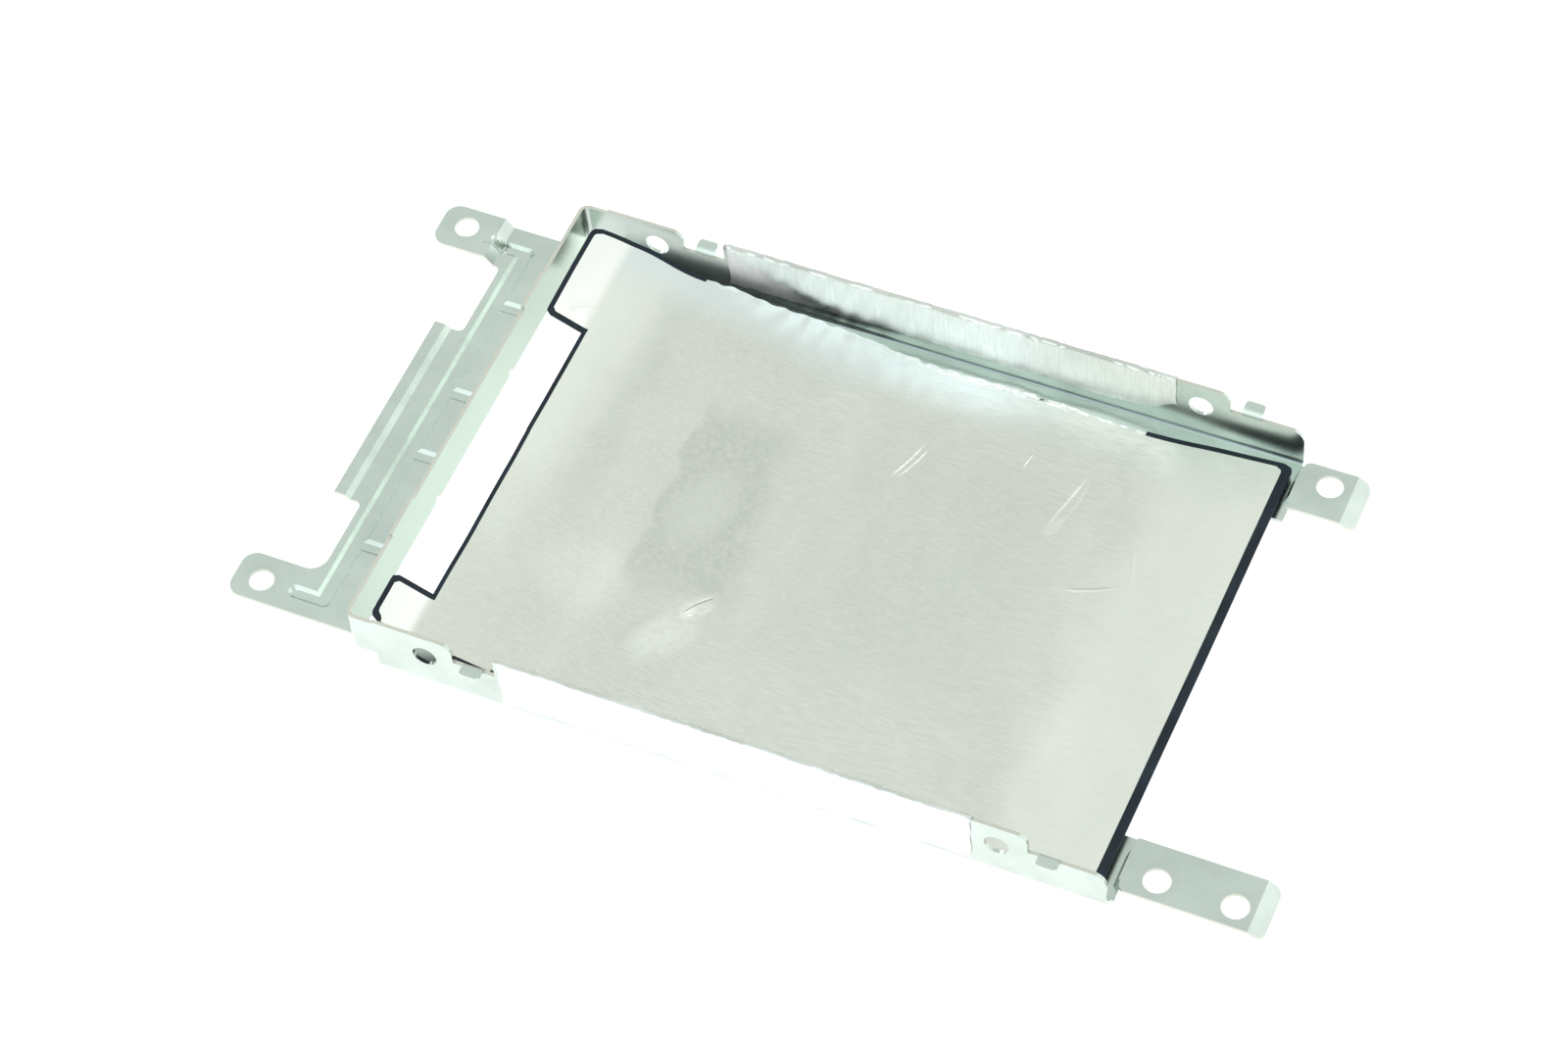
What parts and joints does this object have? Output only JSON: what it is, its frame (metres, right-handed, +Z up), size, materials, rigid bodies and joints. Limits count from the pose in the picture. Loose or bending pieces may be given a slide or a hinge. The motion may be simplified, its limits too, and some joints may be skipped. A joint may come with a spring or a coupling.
{
  "type": "hard drive caddy",
  "caption": "Shallow folded sheet-metal tray that holds a notebook drive by its side screws, with flanged ears and stepped tabs to fix it down, lined with foil on black film.",
  "frame": {"origin": "middle of the bounding box, on the plane of the floor flanges' undersides", "axes": "+X from the flanged end wall to the open end with the tabs, +Z up out of the tray, +Y to the side with the raised ear"},
  "size_m": [0.1398, 0.0746, 0.01],
  "materials": {
    "sheet_steel": "zinc-plated, fine matt grain",
    "black_film": "smooth black film",
    "shield_foil": "matt rolled foil with soft creases",
    "wall_foil": "bright rolled foil, pressed on by hand"
  },
  "bodies": {
    "root": {"caddy_frame": "sheet_steel", "insulator_film": "black_film", "shield_foil": "shield_foil", "wall_foil_near": "wall_foil", "wall_foil_far": "wall_foil"}
  },
  "joints": []
}
